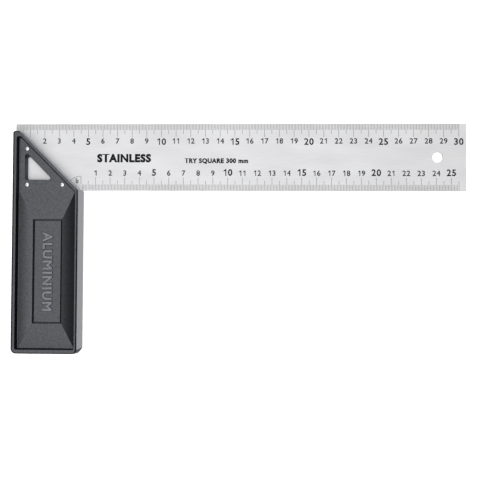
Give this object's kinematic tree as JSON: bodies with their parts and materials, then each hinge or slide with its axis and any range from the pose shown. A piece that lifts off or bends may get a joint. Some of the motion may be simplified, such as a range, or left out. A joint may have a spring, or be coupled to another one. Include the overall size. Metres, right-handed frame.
{
  "type": "try square",
  "caption": "Steel rule blade riveted square into a flat cast aluminium stock with a 45 degree mitre shoulder, finger hollows and triangular windows.",
  "frame": {"origin": "the inner corner of the square, on the blade's middle plane", "axes": "+X along the blade to its free end, +Y across the blade away from the grip, +Z out of the front face as it lies flat"},
  "size_m": [0.305, 0.1563, 0.018],
  "materials": {
    "rule_steel": "satin",
    "cast_stock": "satin",
    "rivet_steel": "satin",
    "scale_ink": "matte"
  },
  "bodies": {
    "root": {"blade": "rule_steel", "stock": "cast_stock", "rivet_top": "rivet_steel", "rivet_corner": "rivet_steel", "rivet_inner": "rivet_steel"}
  },
  "joints": []
}
